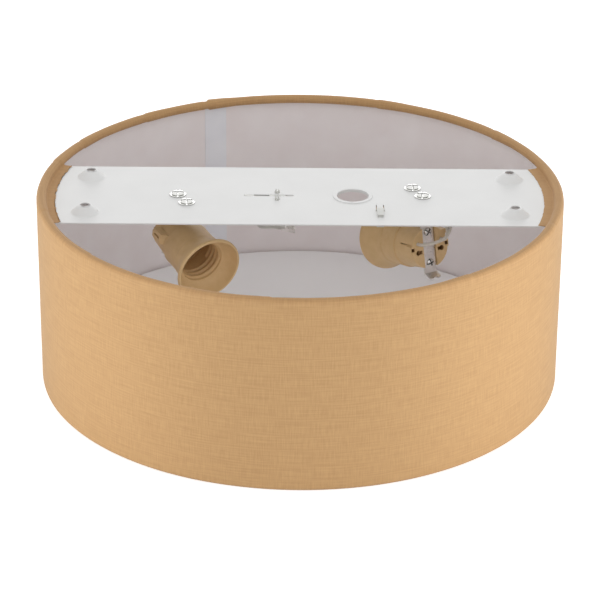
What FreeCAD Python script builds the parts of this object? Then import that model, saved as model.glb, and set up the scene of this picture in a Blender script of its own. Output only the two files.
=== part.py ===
"""Flush mount ceiling light: a fabric drum on two wire rings, a white ceiling plate across the
top, a loose opal diffuser on the bottom ring and two E27 lampholders on sheet-metal brackets.

Millimetres, +Z up.  The origin is on the ceiling, at the middle of the four fixing holes.
+X runs along the ceiling plate.  One STEP file is written per piece.
"""
import FreeCAD, Part
import math
import os

V = FreeCAD.Vector

# ---------------------------------------------------------------- driving dimensions
# drum
drum_diameter = 320.0
drum_height = 121.5
fabric_thickness = 0.4
liner_thickness = 0.4
layer_gap = 0.1              # glue line between fabric, liner, ring and seam strip
ring_wire = 4.4              # both rings are round wire
seam_width = 14.5            # doubled strip inside the liner
seam_thickness = 0.3
seam_azimuth = 110.7         # degrees from +X
flap_length = 6.6            # fabric glued down on the plate, inward of the ring
flap_bend = 0.8

# ceiling plate
plate_width = 87.5
plate_thickness = 0.8
plate_end_gap = 0.4          # to the liner
fixing_inset = 31.0          # hole centres, from the rim of the drum, along the plate
fixing_spacing_y = 54.4
fixing_hole = 5.6
dimple_base = 20.5
dimple_top = 7.6
slit_start = -34.0
slit_end = -4.0
slit_width = 2.4
weld_length = 9.0
weld_spacing = 52.0
weld_near = 0.8              # bead, from the middle of the ring inward
weld_far = 2.1

# cable entry
cable_hole_x = 32.0
cable_bore = 19.2
bush_wall = 0.8
bush_flange = 24.4
bush_flange_height = 0.5
bush_depth = 1.5
bush_clearance = 0.15
bush_chamfer = 0.3
bush_barb = 0.7              # lip that snaps under the plate
bush_barb_height = 0.5
bush_notches = ((-110, 1.0), (-98, 3.2))     # moulded marks in the flange: degrees, width

# cord clip beside the cable entry
clip_x = 48.2
clip_inset = 19.75           # from the front edge of the plate
clip_width = 4.4
clip_length = 11.0
clip_thickness = 1.6
clip_front = 2.9             # front of the neck, from clip_y
clip_back = 6.0              # back of the hook, from clip_y
clip_hook_drop = 5.0         # inside of the hook, below the plate
clip_lip_drop = 2.8
clip_slot_play = 0.4
clip_taper = 0.4             # each side of the tongue, toward its free end
tab_slits = (-20.0, -13.2)   # along Y, both sides of the plate tab that the clip grips
tab_slit_width = 0.7
tab_slit_spacing = 4.3

# diffuser
diffuser_thickness = 3.0
diffuser_clearance = 1.6     # all round, to the liner
seat_gap = 0.3               # running gap under the diffuser

# lampholders: the mouth of the right one, the left one is turned half round about Z
mouth_x = 54.6
mouth_y = 27.4
mouth_drop = 42.7
lamp_azimuth = 121.4         # degrees, the way the right mouth faces
lamp_tilt = 11.5             # degrees below level
flange_radius = 21.0
flange_lip = 1.8
flange_edge = 0.9            # rounding of its rim
bell_step = 0.6
bell_waist = 16.5            # outside, half way along
bell_depth = 9.3             # to the shoulder where the thread starts
bell_end = 16.0              # outside, where the bell runs into the neck
bell_radius_in = 19.5
neck_radius = 15.2
shell_length = 30.4
thread_root = 13.45
thread_crest = 12.3
thread_pitch = 3.629
thread_turns = 4
thread_start = 0.5           # behind the shoulder
base_radius = 14.4           # where it meets the shell
base_rear_radius = 12.9
base_length = 17.8
base_floor = 2.6             # depth of the contact recess in the base
contact_recess = 12.4        # its radius
strap_channel_depth = 2.4
clamp_cover = 4.2            # plastic behind the brass clamps
clamp_width = 4.6
clamp_depth = 4.6
clamp_below = 2.0            # brass beyond the screw and beyond the wire hole
clamp_above = 1.8
clamp_play = 0.15
clamp_bore_depth = 3.0
clamp_thread = 1.1           # radius of the screw bore
terminal_bore = 1.6          # radius of the screwdriver hole
terminal_slot = 2.8          # slot beside it, toward the strap
terminal_slot_depth = 2.5
latch_depth = 3.5
screw_hole_depth = 8.0
screw_play = 0.05
wing_reach = 16.0
wing_width = 7.0
wing_length = 12.0
wing_taper = 4.0             # its front end slopes into the neck
wing_rise = 4.4              # middle of the wing, above the lamp axis
wing_set_in = 5.0            # its rear face, from the rear of the base
wing_groove = 1.8            # width of the groove along it
wing_groove_depth = 1.1
wing_groove_end = 5.0        # from the front end of the wing
cheek_reach = 13.6           # thicker sides of the rear, round the latch holes
cheek_length = 9.0
cheek_half = 2.2             # above and below the latch hole's middle
crease_rise = 3.6            # parting groove on the plain side, above the lamp axis
crease_width = 0.7
crease_depth = 0.7
crease_length = 11.8
terminal_x = 8.4
terminal_y = -1.9            # clamp screws, from the lamp axis
entry_y = 3.7                # wire holes, from the lamp axis
latch_x = 12.1               # square latch holes
latch_y = 0.5
latch_size = 2.2
entry_bore = 2.3
contact_thickness = 0.4
contact_gap = 0.3
centre_leaf_width = 4.4
centre_leaf_crest = 0.5      # its highest line, past the lamp axis
centre_leaf_end = 3.5
centre_leaf_dip = 0.5
centre_foot_length = 4.0
centre_rivet_radius = 1.2
side_leaf_width = 4.0
side_leaf_kick = 1.8         # from its bend to its tip
side_foot_length = 3.8
side_rivet_radius = 1.0
rivet_height = 0.7
rivet_inset = 2.0            # from the edge of the foot
centre_leaf_root = 6.0       # hinge line of the centre leaf, from the lamp axis
centre_leaf_rise = 3.0
side_leaf_root = 10.4
side_leaf_tip = 11.8
side_leaf_reach = 5.8        # beyond the base

# brackets and their screws
strap_width = 8.6
strap_thickness = 1.0
strap_clearance = 0.2
foot_length = 6.4
foot_slope = 24.0            # degrees
pad_radius = 6.2             # strap material round each plate screw
strap_hole_play = 0.2
notch_inset = -0.3           # its centre lies beyond the end of the foot
notch_radius = 1.3
foot_corner = 1.6
strap_below_axis = 16.6      # bend of the lower foot, below the lamp axis
rear_screw_spacing = 19.4
plate_screw_near = (74.5, -0.1)
plate_screw_far = (68.7, 12.2)
plate_screw_head = 10.1
plate_screw_shank = 3.9
plate_screw_length = 7.0
plate_screw_rise = 2.2
plate_screw_washer = 0.6
plate_screw_hole_play = 0.3
rear_screw_head = 4.9
rear_screw_shank = 2.4
rear_screw_length = 7.5
rear_screw_rise = 1.6
recess_reach = 0.42          # arm of the cross recess, as a share of the head's radius
recess_width = 0.085

# terminal block, its sheet carrier and the leads
block_x = -18.0
block_y = -1.0
block_size = (18.0, 19.0, 16.8)
block_corner = 4.5
wire_way_offset = 5.0
wire_way_drop = 6.0          # below the underside of the plate
rib_gap_start = -28.2        # the slit is open between the block's two ribs
rib_gap_end = -18.8
prong_x = -14.0
prong_spacing = 10.8
prong_radius = 1.5
prong_height = 2.4
prong_play = 0.1
prong_split = 0.6
block_deck = 2.0             # thickness of the flat tongue under the slit
block_deck_width = 8.0
rib_play = 0.15
clamp_screw_offset = 5.0     # from the middle of the block
clamp_screw_bore = 1.7
clamp_screw_radius = 1.6
clamp_screw_slot = 0.5
lead_end_inset = 2.5         # end of a lead, inside the block
carrier_width = 11.0
carrier_length = 16.0
carrier_slope = 7.0          # degrees
carrier_drop = 24.8
carrier_edge = 3.0
carrier_rivet_radius = 1.2
carrier_gap = 0.8            # to the block, and beyond the slit
carrier_ear = 8.0
carrier_rivet_y = 5.0
carrier_rivet_head = 0.8
carrier_overlap = 1.0
lead_diameter = 2.0

# ---------------------------------------------------------------- worked out from them
R = drum_diameter / 2
fixing_spacing_x = drum_diameter - 2 * fixing_inset
clip_y = clip_inset - plate_width / 2
liner_out = R - fabric_thickness - layer_gap
liner_in = liner_out - liner_thickness
wire_r = ring_wire / 2
wrap_in = wire_r + layer_gap
wrap_out = wrap_in + fabric_thickness
ring_r = liner_in - layer_gap - wire_r
corner_r = R - wrap_out                      # where the outer wall starts to round over
top_ring_z = -wrap_out
bottom_z = -drum_height
bottom_ring_z = bottom_z + wrap_out
plate_top = top_ring_z - wire_r
plate_under = plate_top - plate_thickness
plate_r = liner_in - plate_end_gap
plate_angle = math.degrees(math.asin(plate_width / 2 / plate_r)) + 0.7
diffuser_z = bottom_ring_z + wrap_out + seat_gap
base_z = -shell_length
base_rear = base_z - base_length
channel_z = base_rear + strap_channel_depth
floor_z = base_z - base_floor
wire_way_z = plate_under - wire_way_drop


# ---------------------------------------------------------------- helpers
def loop(*steps):
    """A closed face in the XZ plane (x is the radius).  A step is a point, or a pair
    (point on the arc, end of the arc)."""
    edges = []
    here = start = V(steps[0][0], 0, steps[0][1])
    for step in list(steps[1:]) + [steps[0]]:
        if isinstance(step[0], tuple):
            mid = V(step[0][0], 0, step[0][1])
            end = V(step[1][0], 0, step[1][1])
            edges.append(Part.Arc(here, mid, end).toShape())
        else:
            end = V(step[0], 0, step[1])
            if end.distanceToPoint(here) > 1e-6:
                edges.append(Part.LineSegment(here, end).toShape())
        here = end
    return Part.Face(Part.Wire(edges))


def spin(face, start=0.0, sweep=360.0):
    """Turn a profile about the Z axis."""
    if start:
        face = face.copy()
        face.rotate(V(0, 0, 0), V(0, 0, 1), start)
    return face.revolve(V(0, 0, 0), V(0, 0, 1), sweep)


def arc_to(cx, cz, radius, mid_deg, end_deg):
    """An arc step for loop(), on a centre, through mid_deg, to end_deg."""
    def at(deg):
        a = math.radians(deg)
        return (cx + radius * math.cos(a), cz + radius * math.sin(a))
    return (at(mid_deg), at(end_deg))


def block(x0, x1, y0, y1, z0, z1):
    return Part.makeBox(x1 - x0, y1 - y0, z1 - z0, V(x0, y0, z0))


def rod(radius, x, y, z0, z1):
    return Part.makeCylinder(radius, z1 - z0, V(x, y, z0))


def prism(points, z0, z1):
    """A flat outline, given in X and Y, between two heights."""
    wire = Part.makePolygon([V(x, y, z0) for x, y in points + [points[0]]])
    return Part.Face(wire).extrude(V(0, 0, z1 - z0))


def fuse(*shapes):
    joined = shapes[0].multiFuse(list(shapes[1:]))
    return joined.removeSplitter()


def half_turn(shape):
    """The same piece on the other side of the lamp."""
    copy = shape.copy()
    copy.rotate(V(0, 0, 0), V(0, 0, 1), 180)
    return copy


def lamp_frame():
    """Local frame of the right lampholder: Z out of the mouth, Y up along the strap."""
    az = math.radians(lamp_azimuth)
    tilt = math.radians(lamp_tilt)
    out = V(math.cos(az) * math.cos(tilt), math.sin(az) * math.cos(tilt), -math.sin(tilt))
    side = V(0, 0, 1).cross(out).normalize()
    up = out.cross(side).normalize()
    m = FreeCAD.Matrix(side.x, up.x, out.x, mouth_x,
                       side.y, up.y, out.y, mouth_y,
                       side.z, up.z, out.z, -mouth_drop,
                       0, 0, 0, 1)
    return FreeCAD.Placement(m)


LAMP = lamp_frame()


def on_lamp(shape):
    """Move a piece from the lampholder's own frame to the right-hand lamp."""
    copy = shape.copy()
    copy.transformShape(LAMP.toMatrix())
    return copy


def lead(points):
    """A round wire through the points, its corners rounded as far as the runs allow."""
    pts = [V(*p) for p in points]
    here = pts[0]
    edges = []
    radii = []
    for before, corner, after in zip(pts, pts[1:], pts[2:]):
        a = before - corner
        b = after - corner
        turn = math.pi - a.getAngle(b)
        cut = 0.45 * min(a.Length, b.Length)
        radius = cut / math.tan(turn / 2)
        radii.append(radius)
        p = corner + a.normalize() * cut
        q = corner + b.normalize() * cut
        to_centre = (a + b).normalize()
        centre = corner + to_centre * math.hypot(cut, radius)
        mid = centre - to_centre * radius
        edges.append(Part.LineSegment(here, p).toShape())
        edges.append(Part.Arc(p, mid, q).toShape())
        here = q
    edges.append(Part.LineSegment(here, pts[-1]).toShape())
    path = Part.Wire(edges)
    start = (pts[1] - pts[0]).normalize()
    ring = Part.Wire(Part.makeCircle(lead_diameter / 2, pts[0], start))
    tube = path.makePipeShell([ring], True, False)
    solid_volume = math.pi * (lead_diameter / 2) ** 2 * path.Length
    print("lead: length %.1f, least radius %.1f, volume ratio %.4f"
          % (path.Length, min(radii), tube.Volume / solid_volume))
    return tube


# ---------------------------------------------------------------- shade
def hem_profile(flap):
    """Fabric wall with its hems rolled round both rings.  With flap the top hem runs in over
    the ceiling plate, otherwise it is tucked back under the ring."""
    tail = liner_in - layer_gap
    zt, zb = top_ring_z, bottom_ring_z
    if flap:
        tip = ring_r - wrap_out - flap_length
        bend = flap_bend
        z_out = plate_top + fabric_thickness
        inner = ring_r - wrap_out
        head = [(tip, plate_top), (tip, z_out), (inner - bend, z_out),
                arc_to(inner - bend, z_out + bend, bend, -45, 0),
                (inner, zt), arc_to(ring_r, zt, wrap_out, 135, 90)]
        back = [arc_to(ring_r, zt, wrap_in, 135, 180), (ring_r - wrap_in, plate_top)]
    else:
        head = [(tail, zt - wrap_out), (ring_r, zt - wrap_out),
                arc_to(ring_r, zt, wrap_out, 180, 90)]
        back = [arc_to(ring_r, zt, wrap_in, 180, 270), (tail, zt - wrap_in)]
    wall = [(corner_r, 0), arc_to(corner_r, zt, wrap_out, 45, 0),
            (R, zb), arc_to(corner_r, zb, wrap_out, -45, -90), (ring_r, bottom_z),
            arc_to(ring_r, zb, wrap_out, 180, 90), (tail, zb + wrap_out), (tail, zb + wrap_in),
            (ring_r, zb + wrap_in), arc_to(ring_r, zb, wrap_in, 180, 270),
            (corner_r, bottom_z + fabric_thickness), arc_to(corner_r, zb, wrap_in, -45, 0),
            (R - fabric_thickness, zt), arc_to(corner_r, zt, wrap_in, 45, 90),
            (ring_r, -fabric_thickness)]
    return loop(*(head + wall + back))


def shade_fabric():
    quiet = 180 - 2 * plate_angle
    parts = [spin(hem_profile(True), -plate_angle, 2 * plate_angle),
             spin(hem_profile(False), plate_angle, quiet),
             spin(hem_profile(True), 180 - plate_angle, 2 * plate_angle),
             spin(hem_profile(False), 180 + plate_angle, quiet)]
    return fuse(*parts)


def shade_liner():
    return spin(loop((liner_in, bottom_ring_z), (liner_out, bottom_ring_z),
                     (liner_out, top_ring_z), (liner_in, top_ring_z)))


def seam_strip():
    outer = liner_in - layer_gap
    inner = outer - seam_thickness
    half = math.degrees(seam_width / 2 / liner_in)
    top = top_ring_z - wrap_out - layer_gap
    low = diffuser_z - seat_gap + layer_gap
    return spin(loop((inner, low), (outer, low), (outer, top), (inner, top)),
                seam_azimuth - half, 2 * half)


def wire_ring(z):
    return Part.makeTorus(ring_r, wire_r, V(0, 0, z))


def diffuser():
    radius = liner_in - diffuser_clearance
    return rod(radius, 0, 0, diffuser_z, diffuser_z + diffuser_thickness)


# ---------------------------------------------------------------- ceiling plate
def dimple_profile():
    """Half section of one pressed dimple: two equal arcs up to a flat top."""
    r0, r1 = dimple_base / 2, dimple_top / 2
    rise = -plate_top
    run = r0 - r1
    rho = (run * run + rise * rise) / (4 * rise)
    turn = math.degrees(math.asin(run / 2 / rho))
    t = plate_thickness
    low = (r0, plate_top + rho)
    high = (r1, -rho)
    hole = fixing_hole / 2
    return loop((hole, -t), (hole, 0), (r1, 0),
                arc_to(*high, rho, 90 - turn / 2, 90 - turn),
                arc_to(*low, rho, 270 - turn / 2, 270),
                (r0, plate_under),
                arc_to(*low, rho + t, 270 - turn / 2, 270 - turn),
                arc_to(*high, rho - t, 90 - turn / 2, 90), (r1, -t))


def fixing_points():
    return [(sx * fixing_spacing_x / 2, sy * fixing_spacing_y / 2)
            for sx in (-1, 1) for sy in (-1, 1)]


def prong_points():
    return [(prong_x, block_y + s * prong_spacing / 2) for s in (-1, 1)]


def plate_screw_points():
    near, far = plate_screw_near, plate_screw_far
    return [near, far, (-near[0], -near[1]), (-far[0], -far[1])]


def ceiling_plate():
    half = plate_width / 2
    body = block(-R, R, -half, half, plate_under, plate_top)
    body = body.common(rod(plate_r, 0, 0, plate_under - 5, plate_top))
    cuts = [rod(dimple_base / 2, x, y, plate_under - 5, 0) for x, y in fixing_points()]
    cuts += [rod(plate_screw_shank / 2 + plate_screw_hole_play, x, y, plate_under - 1, 0)
             for x, y in plate_screw_points()]
    cuts += [rod(prong_radius + prong_play, x, y, plate_under - 1, 0) for x, y in prong_points()]
    cuts.append(rod(cable_bore / 2 + bush_wall + bush_clearance, cable_hole_x, 0,
                    plate_under - 1, 0))
    cuts.append(block(slit_start, slit_end, -slit_width / 2, slit_width / 2, plate_under - 1, 0))
    cuts += [clip_slot()] + tab_cuts()
    body = body.cut(Part.makeCompound(cuts))
    bumps = []
    for x, y in fixing_points():
        bump = spin(dimple_profile())
        bump.translate(V(x, y, 0))
        bumps.append(bump)
    return fuse(body, *bumps)


def ring_welds():
    """A bead at each corner of the plate, in the angle between it and the top ring."""
    outer, inner = ring_r - weld_near, ring_r - weld_far
    bead = loop((inner, plate_top), (outer, plate_top), (inner, plate_top + weld_far - weld_near))
    half = math.degrees(weld_length / 2 / ring_r)
    middle = math.degrees(math.asin(weld_spacing / 2 / ring_r))
    beads = [spin(bead, angle - half, 2 * half)
             for angle in (middle, -middle, 180 - middle, 180 + middle)]
    ring = wire_ring(top_ring_z)
    return Part.makeCompound([b.cut(ring) for b in beads])


def cable_bush():
    bore = cable_bore / 2
    wall = bore + bush_wall
    flange = bush_flange / 2
    top = plate_top + bush_flange_height
    low = plate_top - bush_depth
    barb = plate_under - layer_gap
    soft = bush_chamfer
    ring = spin(loop((bore, low), (bore, top - soft), (bore + soft, top), (flange - soft, top),
                     (flange, top - soft), (flange, plate_top), (wall, plate_top), (wall, barb),
                     (wall + bush_barb, barb), (wall, barb - bush_barb_height), (wall, low)))
    notches = []
    for angle, width in bush_notches:
        notch = block(wall + bush_barb, flange - soft * 3, -width / 2, width / 2, plate_top, 0)
        notch.rotate(V(0, 0, 0), V(0, 0, 1), angle)
        notches.append(notch)
    ring = ring.cut(Part.makeCompound(notches))
    ring.translate(V(cable_hole_x, 0, 0))
    return ring


# ---------------------------------------------------------------- cord clip
def clip_span():
    return clip_x - clip_width / 2, clip_x + clip_width / 2


def clip_slot():
    x0, x1 = clip_span()
    y1 = clip_y + clip_front
    play = clip_slot_play
    return block(x0 - play, x1 + play, y1 - clip_thickness - play, y1 + play, plate_under - 1, 0)


def tab_cuts():
    """Two slits that free a narrow tab of the plate behind the clip."""
    y0, y1 = tab_slits
    half = tab_slit_width / 2
    middles = [clip_x + s * tab_slit_spacing / 2 for s in (-1, 1)]
    return [block(x - half, x + half, y0, y1, plate_under - 1, 0) for x in middles]


def cord_clip():
    """A nylon hook: a tongue up through the slot that folds down on the plate, and a loop
    under the plate that holds the mains cord."""
    x0, x1 = clip_span()
    y0, y1 = clip_y - clip_back, clip_y + clip_front
    t = clip_thickness
    hook = plate_under - clip_hook_drop
    tip = y1 - clip_length
    tongue = prism([(x0, y1), (x1, y1), (x1 - clip_taper, tip), (x0 + clip_taper, tip)],
                   plate_top, plate_top + t)
    neck = block(x0, x1, y1 - t, y1, hook, plate_top + t)
    floor = block(x0, x1, y0, y1, hook - t, hook)
    lip = block(x0, x1, y0, y0 + t, hook, plate_under - clip_lip_drop)
    return fuse(tongue, neck, floor, lip)


# ---------------------------------------------------------------- lampholder, in its own frame
def holder_shell():
    """Flange, bell and neck in one moulding, with the E27 thread inside the neck."""
    bell = flange_radius - bell_step
    steps = [(bell_radius_in, 0), (flange_radius - flange_edge, 0),
             arc_to(flange_radius - flange_edge, -flange_edge, flange_edge, 45, 0),
             (flange_radius, -flange_lip), (bell, -flange_lip - bell_step),
             (bell - bell_step, -flange_lip - 4 * bell_step),
             ((bell_waist, -bell_depth), (neck_radius, -bell_end)),
             (neck_radius, base_z), (thread_root, base_z)]
    top = -bell_depth - thread_start
    for turn in range(thread_turns, 0, -1):
        z = top - turn * thread_pitch
        steps += [(thread_root, z), (thread_crest, z + thread_pitch * 0.3),
                  (thread_crest, z + thread_pitch * 0.55), (thread_root, z + thread_pitch * 0.85)]
    shoulder = thread_root + flange_edge
    steps += [(thread_root, top), (shoulder, -bell_depth),
              (shoulder + flange_edge, -bell_depth + bell_step)]
    return spin(loop(*steps))


def side_wing():
    """Flat rib along one side of the base, grooved along its outer face."""
    y0, y1 = wing_rise - wing_width / 2, wing_rise + wing_width / 2
    rear = base_rear + wing_set_in
    front = rear + wing_length
    inner = -base_rear_radius * 0.9
    wire = Part.makePolygon([V(inner, y0, rear), V(-wing_reach, y0, rear),
                             V(-wing_reach, y0, front - wing_taper), V(inner, y0, front),
                             V(inner, y0, rear)])
    wing = Part.Face(wire).extrude(V(0, y1 - y0, 0))
    groove = block(-wing_reach - 1, wing_groove_depth - wing_reach, wing_rise - wing_groove / 2,
                   wing_rise + wing_groove / 2, base_rear, front - wing_groove_end)
    return wing.cut(groove)


def cheek(sign):
    """Thicker side at the rear of the base, that holds a latch hole."""
    x0, x1 = sorted((sign * base_rear_radius * 0.9, sign * cheek_reach))
    return block(x0, x1, latch_y - cheek_half, latch_y + cheek_half, base_rear,
                 base_rear + cheek_length)


def crease():
    """Parting groove along the side of the base that has no wing."""
    x = base_rear_radius - crease_depth
    half = crease_width / 2
    return block(x, x + 4, crease_rise - half, crease_rise + half, base_rear - 1,
                 base_rear + crease_length)


def base_cuts():
    """Everything taken out of the base: strap channel, contact recess, wire and screw holes."""
    half = strap_width / 2 + strap_clearance
    low = base_rear - 1
    cuts = [block(-half, half, -flange_radius, flange_radius, low, channel_z),
            rod(contact_recess, 0, 0, floor_z, base_z + 1), crease()]
    for s in (-1, 1):
        x = s * terminal_x
        deep = base_rear + clamp_cover
        slot = sorted((x, x - s * terminal_slot))
        r = latch_size / 2
        cuts += [rod(terminal_bore, x, terminal_y, low, deep),
                 block(*slot, terminal_y - r, terminal_y + r, low, base_rear + terminal_slot_depth),
                 rod(entry_bore / 2, x, entry_y, low, deep),
                 block(s * latch_x - r, s * latch_x + r, latch_y - r, latch_y + r, low,
                       base_rear + latch_depth),
                 clamp_body(s, clamp_play)]
    for y in rear_screw_heights():
        cuts.append(rod(rear_screw_shank / 2 + screw_play, 0, y, channel_z - 1,
                        channel_z + screw_hole_depth))
    return cuts


def clamp_body(sign, grow):
    """The block of one clamp, or with grow the pocket round it."""
    x = sign * terminal_x
    half = clamp_width / 2 + grow
    front = base_rear + clamp_cover
    return block(x - half, x + half, terminal_y - clamp_below - grow,
                 entry_y + clamp_above + grow, front - grow, front + clamp_depth + grow)


def holder_base():
    cone = Part.makeCone(base_rear_radius, base_radius, base_length, V(0, 0, base_rear))
    body = fuse(cone, side_wing(), cheek(-1), cheek(1))
    return body.cut(Part.makeCompound(base_cuts()))


def terminal_clamps():
    """Two brass clamps in the base, each with its wire bore and a screw bore."""
    clamps = []
    for s in (-1, 1):
        x = s * terminal_x
        end = base_rear + clamp_cover + clamp_bore_depth
        holes = [rod(entry_bore / 2, x, entry_y, base_rear, end),
                 rod(clamp_thread, x, terminal_y, base_rear, end)]
        clamps.append(clamp_body(s, 0.0).cut(Part.makeCompound(holes)))
    return Part.makeCompound(clamps)


def leaf(lower, width, thick):
    """A bent strip: one edge line in Y and Z, its thickness as a step, its width along X."""
    half = width / 2
    back = [(y + thick[0], z + thick[1]) for y, z in reversed(lower)]
    outline = [V(-half, y, z) for y, z in lower + back]
    return Part.Face(Part.makePolygon(outline + [outline[0]])).extrude(V(width, 0, 0))


def centre_contact():
    """Sprung centre leaf: it rises from its hinge line to the button of the lamp cap."""
    tip = floor_z + centre_leaf_rise
    lower = [(-centre_leaf_root, floor_z + contact_gap), (centre_leaf_crest, tip),
             (centre_leaf_end, tip - centre_leaf_dip)]
    return leaf(lower, centre_leaf_width, (0, contact_thickness))


def side_contact():
    """Sprung side leaf that presses on the screw shell of the lamp cap."""
    high = base_z + side_leaf_reach
    bend = side_leaf_tip - contact_thickness
    lower = [(side_leaf_root, floor_z + contact_gap), (side_leaf_root, base_z),
             (bend, high - side_leaf_kick), (side_leaf_tip, high)]
    return leaf(lower, side_leaf_width, (contact_thickness, 0))


def leaf_foot(y0, y1, width, rivet_y, radius):
    """Fixed end of a leaf on the floor of the recess, with its rivet."""
    top = floor_z + contact_thickness
    foot = block(-width / 2, width / 2, y0, y1, floor_z, top)
    return fuse(foot, rod(radius, 0, rivet_y, top, top + rivet_height))


def centre_anchor():
    edge = -centre_leaf_root - contact_gap
    return leaf_foot(edge - centre_foot_length, edge, centre_leaf_width, edge - rivet_inset,
                     centre_rivet_radius)


def side_anchor():
    edge = side_leaf_root - contact_gap
    return leaf_foot(edge - side_foot_length, edge, side_leaf_width, edge - rivet_inset,
                     side_rivet_radius)


# ---------------------------------------------------------------- bracket and screws
def rear_screw_heights():
    return [-rear_screw_spacing / 2, rear_screw_spacing / 2]


def bracket():
    """Strap down the back of the lampholder: a pad under the plate, the leg and a short
    notched foot."""
    half = strap_width / 2
    outer = channel_z - strap_thickness
    leg = on_lamp(block(-half, half, -strap_below_axis, mouth_drop * 1.4, outer, channel_z))
    leg = leg.cut(block(-R, R, -R, R, plate_under, R))
    body = fuse(leg, *bracket_pad(), on_lamp(bracket_foot()))
    holes = [rod(plate_screw_shank / 2 + screw_play, *p, plate_under - strap_thickness - 1,
                 plate_under + 1) for p in (plate_screw_near, plate_screw_far)]
    holes += [on_lamp(rod(rear_screw_shank / 2 + strap_hole_play, 0, y, outer - 1, channel_z + 1))
              for y in rear_screw_heights()]
    return body.cut(Part.makeCompound(holes))


def bracket_pad():
    """Round both plate screws, and from the nearer one back to the top of the leg."""
    half = strap_width / 2
    z = plate_under - strap_thickness
    tilt = math.radians(lamp_tilt)
    rise = (plate_under + mouth_drop + channel_z * math.sin(tilt)) / math.cos(tilt)
    top = LAMP.multVec(V(0, rise, channel_z))
    side = LAMP.Rotation.multVec(V(half, 0, 0))
    out = LAMP.Rotation.multVec(V(0, 0, -strap_thickness * 1.3))
    near, far = plate_screw_near, plate_screw_far
    reach, set_back = pad_radius * 0.9, pad_radius * 0.42
    neck = prism([(top.x + side.x + out.x, top.y + side.y + out.y),
                  (top.x - side.x + out.x, top.y - side.y + out.y),
                  (near[0] + reach, near[1] + set_back),
                  (near[0] - reach, near[1] - set_back)], z, plate_under)
    return [rod(pad_radius, *near, z, plate_under), rod(pad_radius, *far, z, plate_under),
            capsule(near, far, pad_radius, z), neck]


def bracket_foot():
    half = strap_width / 2
    foot = block(-half, half, 0, strap_thickness, -foot_length, 0)
    tips = [e for e in foot.Edges if abs(e.CenterOfMass.z + foot_length) < 1e-6
            and abs(abs(e.CenterOfMass.x) - half) < 1e-6]
    foot = foot.makeFillet(foot_corner, tips)
    end = notch_inset - foot_length
    notch = Part.makeCylinder(notch_radius, 3, V(0, -1, end), V(0, 1, 0))
    mouth = block(-notch_radius, notch_radius, -1, 2, end - 1, end)
    foot = foot.cut(Part.makeCompound([notch, mouth]))
    foot.rotate(V(0, 0, 0), V(1, 0, 0), -foot_slope)
    foot.translate(V(0, -strap_below_axis, channel_z))
    return foot


def capsule(a, b, radius, z):
    dx, dy = b[0] - a[0], b[1] - a[1]
    n = math.hypot(dx, dy)
    nx, ny = -dy / n * radius, dx / n * radius
    return prism([(a[0] + nx, a[1] + ny), (b[0] + nx, b[1] + ny),
                  (b[0] - nx, b[1] - ny), (a[0] - nx, a[1] - ny)], z, plate_under)


def screw(head_d, head_h, shank_d, length, washer_h):
    """Cross-recess screw, its head above z = 0 and its shank below."""
    r = head_d / 2
    dome = r * 0.78 if washer_h else r
    body = spin(loop((0, -length), (shank_d / 2 - 0.3, -length), (shank_d / 2, -length + 0.3),
                     (shank_d / 2, 0), (r, 0), (r, washer_h), (dome, washer_h + 0.01),
                     ((dome * 0.72, head_h * 0.8), (0, head_h))))
    arm = r * recess_reach
    slot = r * recess_width
    cross = fuse(block(-arm, arm, -slot, slot, head_h * 0.3, head_h + 1),
                 block(-slot, slot, -arm, arm, head_h * 0.3, head_h + 1))
    return body.cut(cross)


def plate_screws():
    out = []
    for i, (x, y) in enumerate(plate_screw_points()):
        s = screw(plate_screw_head, plate_screw_rise, plate_screw_shank, plate_screw_length,
                  plate_screw_washer)
        s.rotate(V(0, 0, 0), V(0, 0, 1), 35 + 25 * i)
        s.translate(V(x, y, plate_top))
        out.append(s)
    return out


def rear_screws():
    out = []
    for y in rear_screw_heights():
        s = screw(rear_screw_head, rear_screw_rise, rear_screw_shank, rear_screw_length, 0.0)
        s.rotate(V(0, 0, 0), V(1, 0, 0), 180)
        s.translate(V(0, y, channel_z - strap_thickness))
        out.append(on_lamp(s))
    return out


# ---------------------------------------------------------------- terminal block and carrier
def block_ends():
    return block_x - block_size[0] / 2, block_x + block_size[0] / 2


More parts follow.
